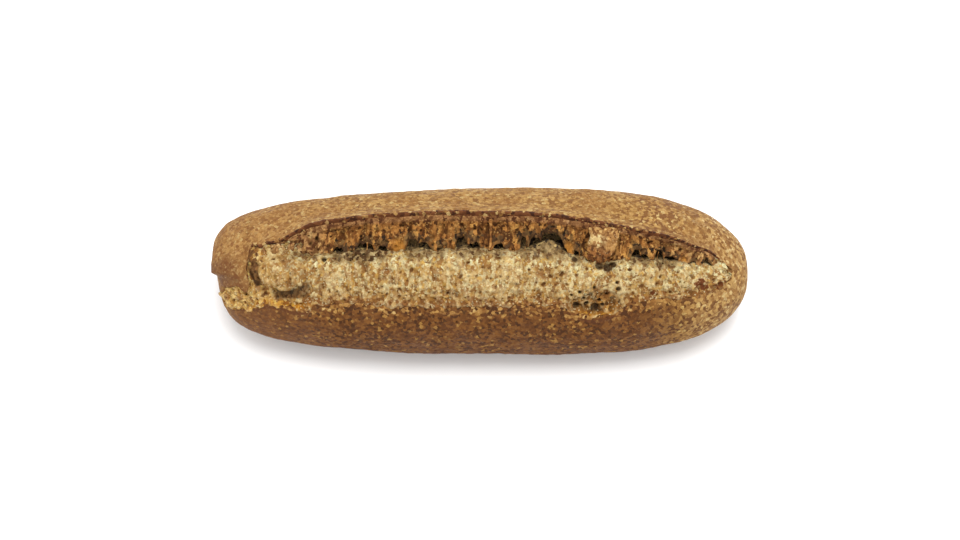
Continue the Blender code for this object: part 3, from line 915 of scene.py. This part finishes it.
class Shading:
    """Builds one procedural material; its texture space is in millimetres."""

    def __init__(self, name):
        self.material = bpy.data.materials.new(name)
        self.material.use_nodes = True
        self.nodes = self.material.node_tree.nodes
        self.links = self.material.node_tree.links
        self.shader = self.nodes["Principled BSDF"]
        place = self.nodes.new("ShaderNodeTexCoord")
        scale = self.nodes.new("ShaderNodeVectorMath")
        scale.operation = "SCALE"
        scale.inputs["Scale"].default_value = 1.0 / MM
        self.put(place.outputs["Object"], scale.inputs[0])
        self.place = scale.outputs["Vector"]
        self.values = {}
        self.palettes = {}
        self.grain = None
        self.base = None

    def put(self, value, socket):
        """Links a socket, or sets a plain value."""
        if isinstance(value, bpy.types.NodeSocket):
            self.links.new(value, socket)
        else:
            socket.default_value = value

    def noise(self, size, detail=2.0, roughness=0.5, stretch=(1, 1, 1)):
        """A noise from 0 to 1 whose features are about this many millimetres across."""
        node = self.nodes.new("ShaderNodeTexNoise")
        node.inputs["Scale"].default_value = 1.0 / size
        node.inputs["Detail"].default_value = detail
        node.inputs["Roughness"].default_value = roughness
        self.put(self.stretched(stretch), node.inputs["Vector"])
        return node.outputs["Fac"]

    def stretched(self, stretch):
        if stretch == (1, 1, 1):
            return self.place
        shaped = self.nodes.new("ShaderNodeVectorMath")
        shaped.operation = "MULTIPLY"
        shaped.inputs[1].default_value = stretch
        self.put(self.place, shaped.inputs[0])
        return shaped.outputs["Vector"]

    def grains(self, size, stretch=(1, 1, 1)):
        """Three independent random values from 0 to 1 for each small, unevenly bordered grain."""
        uneven = self.nodes.new("ShaderNodeTexNoise")
        uneven.inputs["Scale"].default_value = 1.6 / size
        self.put(self.place, uneven.inputs["Vector"])
        bent = self.nodes.new("ShaderNodeVectorMath")
        bent.operation = "MULTIPLY_ADD"
        bent.inputs[1].default_value = (size, size, size)
        self.put(uneven.outputs["Color"], bent.inputs[0])
        self.put(self.stretched(stretch), bent.inputs[2])
        node = self.nodes.new("ShaderNodeTexVoronoi")
        node.inputs["Scale"].default_value = 1.0 / size
        self.put(bent.outputs["Vector"], node.inputs["Vector"])
        values = self.nodes.new("ShaderNodeSeparateColor")
        self.put(node.outputs["Color"], values.inputs["Color"])
        return tuple(values.outputs)

    def mark(self, name):
        node = self.nodes.new("ShaderNodeAttribute")
        node.attribute_name = name
        return node.outputs["Fac"]

    def ramp(self, value, low, high, start=0.0, end=1.0):
        """Maps low..high to start..end smoothly and clamps."""
        node = self.nodes.new("ShaderNodeMapRange")
        node.interpolation_type = "SMOOTHSTEP"
        self.put(value, node.inputs["Value"])
        node.inputs["From Min"].default_value = low
        node.inputs["From Max"].default_value = high
        node.inputs["To Min"].default_value = start
        node.inputs["To Max"].default_value = end
        return node.outputs["Result"]

    def math(self, operation, first, second=0.0):
        node = self.nodes.new("ShaderNodeMath")
        node.operation = operation
        self.put(first, node.inputs[0])
        self.put(second, node.inputs[1])
        return node.outputs["Value"]

    def blend(self, share, first, second):
        """Colour that goes from the first to the second."""
        node = self.nodes.new("ShaderNodeMix")
        node.data_type = "RGBA"
        self.put(share, node.inputs["Factor"])
        self.put(first, node.inputs[6])
        self.put(second, node.inputs[7])
        return node.outputs[2]

    def add_sand(self, size):
        """Two values for fine grains: sand for all of them, and spot for the few that stand out."""
        self.values["sand"], _, self.values["spot"] = self.grains(size)

    def value(self, name):
        """A value of this material, or else a mark on the mesh."""
        return self.values[name] if name in self.values else self.mark(name)

    def speckled(self, light, middle, dark, rare, dark_share, rare_share):
        """Grainy colour: most grains lie between light and middle, some are dark and a few are rare."""
        first, second, third = self.grain
        base = self.blend(self.ramp(first, 0.1, 0.9), colour(middle), colour(light))
        base = self.blend(self.ramp(second, 0.97 - dark_share, 1.01 - dark_share), base, colour(dark))
        return self.blend(self.ramp(third, 0.98 - rare_share, 1.0 - rare_share), base, colour(rare))

    def paint(self, over):
        """The surface colour for a screen colour, or the grains of a named palette."""
        if not isinstance(over, str):
            return colour(over)
        if over not in self.palettes:
            self.palettes[over] = self.speckled(*PALETTES[over])
        return self.palettes[over]

    def start(self, palette):
        """Starts the base colour with the grains of a palette."""
        self.base = self.paint(palette)

    def cover(self, share, over):
        """Lays a screen colour or a palette over the base where the share is high."""
        self.base = self.blend(share, self.base, self.paint(over))

    def lay(self, name, low, high, most, over):
        """Covers the base where a value goes from low to high, at most by this share."""
        self.cover(self.ramp(self.value(name), low, high, 0.0, most), over)

    def strew(self, name, number, most, edge, over):
        """Covers scattered grains, picked by one of the grains' values; the more, the higher the value.

        At a value of 1 it covers this share of them, and edge softens their borders.
        """
        reached = self.math("MULTIPLY", self.value(name), most)
        gap = self.math("SUBTRACT", self.grain[number], reached)
        self.cover(self.ramp(gap, 0.0, -edge), over)

    def bump(self, height, distance, below=None):
        node = self.nodes.new("ShaderNodeBump")
        node.inputs["Strength"].default_value = 1.0
        node.inputs["Distance"].default_value = distance * MM
        self.put(height, node.inputs["Height"])
        if below is not None:
            self.put(below, node.inputs["Normal"])
        return node.outputs["Normal"]

    def finish(self, roughness, normal, specular):
        self.put(self.base, self.shader.inputs["Base Color"])
        self.put(roughness, self.shader.inputs["Roughness"])
        self.put(normal, self.shader.inputs["Normal"])
        self.shader.inputs["Specular IOR Level"].default_value = specular
        return self.material


def colour(screen):
    """Linear colour of a surface that shows this screen colour under the studio light."""
    screen = np.array(screen) / 255.0
    linear = np.where(screen <= 0.04045, screen / 12.92, ((screen + 0.055) / 1.055) ** 2.4)
    return (*(REFLECTED * linear).tolist(), 1.0)


def crust_material():
    """Browned crust: lighter above and darker in front, partly its own browner colour and partly painted
    shade; torn dough on the lip; a dark edge on the ear, partly painted shade under that edge.
    """
    s = Shading("browned_crust")
    s.grain = s.grains(1.1)
    s.add_sand(0.55)
    s.values["flour"] = s.noise(3.2, 3.0, 0.6)
    s.values["patch"] = s.noise(11.0, 3.0, 0.55)
    s.start("top crust")
    s.lay("flour", 0.42, 0.28, 0.5, (206, 166, 106))
    s.lay("patch", 0.46, 0.68, 0.45, (158, 108, 58))
    s.strew("freckled", 1, 0.38, 0.12, (134, 88, 46))
    top = s.base
    # The lower crust in front: partly its own browner colour, partly painted shade where it turns away
    # from the lamp
    s.start("low crust")
    s.lay("flour", 0.54, 0.70, 0.5, (94, 56, 30))
    s.lay("right", 0.0, 1.0, 0.85, "right low crust")
    s.base = s.blend(s.mark("front"), top, s.base)
    s.lay("left", 0.0, 1.0, 0.30, (156, 104, 62))
    s.lay("right", 0.5, 1.0, 0.6, "right end crust")
    s.lay("lobe", 0.0, 1.0, 0.65, (112, 66, 37))
    s.lay("under", 0.0, 1.0, 0.5, (120, 76, 38))
    s.lay("shade", 0.1, 0.8, 0.75, (100, 57, 30))
    s.strew("lip", 1, 0.48, 0.12, "torn lip")
    s.lay("sand", 0.85, 0.15, 0.30, (104, 64, 32))
    upward = s.ramp(s.mark("front"), 0.2, 0.9, 0.30, 0.08)
    s.cover(s.math("MULTIPLY", s.ramp(s.values["spot"], 0.90, 0.95), upward), (224, 184, 120))
    # The ear's dark edge: partly darker crust, partly painted shade just under the edge
    s.strew("rim", 2, 1.28, 0.2, "ear rim")
    s.lay("sunk", 0.4, 0.9, 1.0, (140, 96, 52))
    s.cover(s.mark("blister"), (50, 28, 16))
    fine = s.bump(s.noise(0.9, 3.0, 0.6), 0.45)
    normal = s.bump(s.noise(2.6, 2.0, 0.5), 0.5, fine)
    return s.finish(s.ramp(s.values["patch"], 0.3, 0.7, 0.62, 0.8), normal, 0.12)


def crumb_material():
    """Torn crumb: cream, browned at the lip and golden at the left end, with painted shade in low relief,
    holes, hollows, on the brow and in the crevice, and painted highlights on raised strands.
    """
    s = Shading("torn_crumb")
    s.grain = s.grains(1.1, (1.0, 0.75, 0.75))
    s.add_sand(0.5)
    s.values["streak"] = s.noise(1.7, 3.0, 0.62, (1.0, 0.35, 0.35))
    s.values["blotch"] = s.noise(4.0, 2.0, 0.5)
    s.values["yellow"], s.values["grey"], _ = s.grains(0.9, (1.0, 0.7, 0.7))
    s.values["rising"] = s.ramp(s.mark("share"), 0.20, -0.02)
    s.start("crumb")
    s.lay("yellow", 0.84, 0.88, 0.85, (228, 182, 90))
    s.lay("grey", 0.90, 0.93, 0.8, (158, 138, 104))
    s.lay("streak", 0.55, 0.70, 0.6, (178, 124, 60))
    s.lay("streak", 0.42, 0.28, 0.5, (242, 224, 172))
    s.lay("blotch", 0.52, 0.68, 0.35, (184, 136, 76))
    s.lay("share", 0.54, 0.44, 0.35, "lower crumb")
    s.lay("share", 0.28, 0.04, 0.6, "lower crumb")
    s.strew("rising", 1, 0.85, 0.12, "browned crumb")
    s.lay("golden", 0.2, 0.9, 0.9, "golden crumb")
    s.lay("left", 0.5, 1.0, 0.4, "golden crumb")
    s.lay("left", 0.5, 1.0, 0.55, "straw crumb")
    s.lay("nodule", 0.0, 1.0, 0.45, (182, 138, 78))
    s.lay("crater", 0.0, 1.0, 0.9, "crater")
    # Painted shade where the relief is low, painted highlight where it is high
    s.lay("high", 0.50, 0.15, 0.75, (140, 90, 44))
    s.lay("high", 0.60, 0.95, 0.40, (240, 216, 160))
    s.lay("sand", 0.85, 0.15, 0.35, (160, 110, 56))
    s.lay("spot", 0.90, 0.95, 0.5, (244, 226, 176))
    # Painted shade in the small holes
    s.lay("pit", 0.2, 0.9, 0.75, (112, 70, 34))
    # Painted shade in the crease under the nodule and in the groove
    s.lay("hollow", 0.1, 0.8, 0.9, "hollow")
    s.strew("corner", 2, 0.75, 0.2, (126, 86, 50))
    s.strew("scorch", 1, 0.78, 0.2, (120, 68, 35))
    # Painted shade on the brow under the ear and below the cavities
    s.lay("brow", 0.0, 1.0, 0.85, "brow")
    # Painted shade on the brow near the left end
    s.strew("left_brow_shade", 2, 0.7, 0.2, (86, 60, 34))
    # Painted shade in the crevice
    s.lay("deep", 0.1, 0.8, 1.0, "deep")
    # Painted shade in the named pores
    s.lay("pore", 0.2, 0.9, 0.85, (66, 43, 23))
    fine = s.bump(s.noise(0.9, 3.0, 0.6), 0.7)
    normal = s.bump(s.noise(2.2, 3.0, 0.6), 0.8, fine)
    s.shader.inputs["Subsurface Weight"].default_value = 0.12
    s.shader.inputs["Subsurface Radius"].default_value = (1.0, 0.6, 0.3)
    s.shader.inputs["Subsurface Scale"].default_value = 1.0 * MM
    return s.finish(0.85, normal, 0.1)


def face_material():
    """The torn face: brown strands, a paler band under the ear, painted shade around each cavity, in its
    holes, in low relief and on its back, and painted highlights on raised strands.
    """
    s = Shading("torn_face")
    s.grain = s.grains(1.05, (1.0, 0.7, 0.7))
    s.add_sand(0.5)
    s.values["streak"] = s.noise(1.5, 3.0, 0.62, (1.0, 0.3, 0.3))
    s.start("face")
    s.lay("streak", 0.50, 0.66, 0.65, (98, 58, 26))
    s.lay("streak", 0.44, 0.30, 0.55, (206, 148, 76))
    s.cover(s.mark("band"), "face band")
    s.lay("tan", 0.0, 1.0, 0.85, "face tan")
    # Painted shade where the relief is low, painted highlight where it is high
    s.lay("high", 0.42, 0.12, 0.7, (84, 50, 19))
    s.lay("high", 0.62, 0.92, 0.38, (202, 152, 84))
    s.lay("sand", 0.85, 0.15, 0.35, (84, 50, 24))
    s.lay("spot", 0.92, 0.96, 0.5, (226, 176, 104))
    # Painted shade in the face's holes
    s.lay("pit", 0.2, 0.9, 0.8, (66, 39, 16))
    s.strew("gloom", 2, 0.95, 0.2, "face gloom")
    s.lay("hem", 0.2, 1.0, 0.4, (96, 62, 32))
    s.lay("orange", 0.2, 1.0, 0.7, (206, 140, 58))
    # Painted shade on the back of the sheet, in the crevice
    s.cover(s.mark("back"), (76, 48, 24))
    fine = s.bump(s.noise(0.9, 3.0, 0.6), 0.7)
    normal = s.bump(s.noise(2.0, 3.0, 0.6), 0.7, fine)
    return s.finish(0.85, normal, 0.1)


def tongue_material():
    s = Shading("hanging_crust")
    s.grain = s.grains(0.9)
    s.add_sand(0.45)
    s.start("tongue")
    # Painted highlight on the tongue's upper left
    s.lay("painted_highlight", 0.1, 0.8, 1.0, "tongue highlight")
    # Lower front of the tongue: reddish crust, partly painted shade
    s.cover(s.mark("low"), "tongue low")
    # Painted shade where the relief is low
    s.lay("high", 0.40, 0.10, 0.5, (104, 62, 32))
    s.lay("sand", 0.85, 0.15, 0.30, (104, 62, 32))
    s.lay("spot", 0.92, 0.96, 0.35, (230, 192, 134))
    normal = s.bump(s.noise(0.7, 3.0, 0.6), 0.4)
    return s.finish(0.75, normal, 0.12)


def thread_material():
    s = Shading("dough_threads")
    s.grain = s.grains(0.9)
    s.start("threads")
    return s.finish(0.7, s.bump(s.noise(0.6, 3.0, 0.6), 0.3), 0.12)


# -------- studio


def floor_piece():
    """A pale floor, a little under the loaf."""
    bpy.ops.mesh.primitive_plane_add(size=FLOOR_SIZE, location=(0.0, 0.0, -FLOOR_DROP))
    floor = bpy.context.object
    floor.name = "floor"
    s = Shading("pale_floor")
    s.shader.inputs["Base Color"].default_value = FLOOR_COLOUR
    s.shader.inputs["Roughness"].default_value = FLOOR_ROUGHNESS
    floor.data.materials.append(s.material)


def studio_light():
    """White light from all sides and one large soft lamp over the loaf."""
    world = bpy.data.worlds.new("studio")
    bpy.context.scene.world = world
    world.use_nodes = True
    sky = world.node_tree.nodes["Background"]
    sky.inputs["Color"].default_value = (1.0, 1.0, 1.0, 1.0)
    sky.inputs["Strength"].default_value = SKY_STRENGTH
    light = bpy.data.lights.new("key", "AREA")
    light.shape = "DISK"
    light.size = KEY_SIZE
    light.energy = KEY_POWER
    lamp = bpy.data.objects.new("key", light)
    lamp.location = KEY_PLACE
    lamp.rotation_euler = (-Vector(KEY_PLACE)).to_track_quat("-Z", "Y").to_euler()
    bpy.context.scene.collection.objects.link(lamp)


def camera():
    """Looks down on the cut as the photograph does."""
    elevation = math.radians(CAMERA_ELEVATION)
    away = Vector((0.0, -math.cos(elevation), math.sin(elevation)))
    view = bpy.data.cameras.new("camera")
    view.lens = LENS
    view.sensor_width = SENSOR_WIDTH
    view.clip_start = CAMERA_NEAREST
    eye = bpy.data.objects.new("camera", view)
    eye.location = Vector(CAMERA_AIM) + away * CAMERA_DISTANCE
    eye.rotation_euler = (-away).to_track_quat("-Z", "Y").to_euler()
    bpy.context.scene.collection.objects.link(eye)
    bpy.context.scene.camera = eye


centre_shift = crust_piece(crust_material())
crumb_piece(crumb_material(), centre_shift)
face_piece(face_material(), centre_shift)
tongue_piece(tongue_material(), centre_shift)
threads_piece(thread_material(), centre_shift)
floor_piece()
studio_light()
camera()
bpy.context.scene.view_settings.view_transform = "Standard"
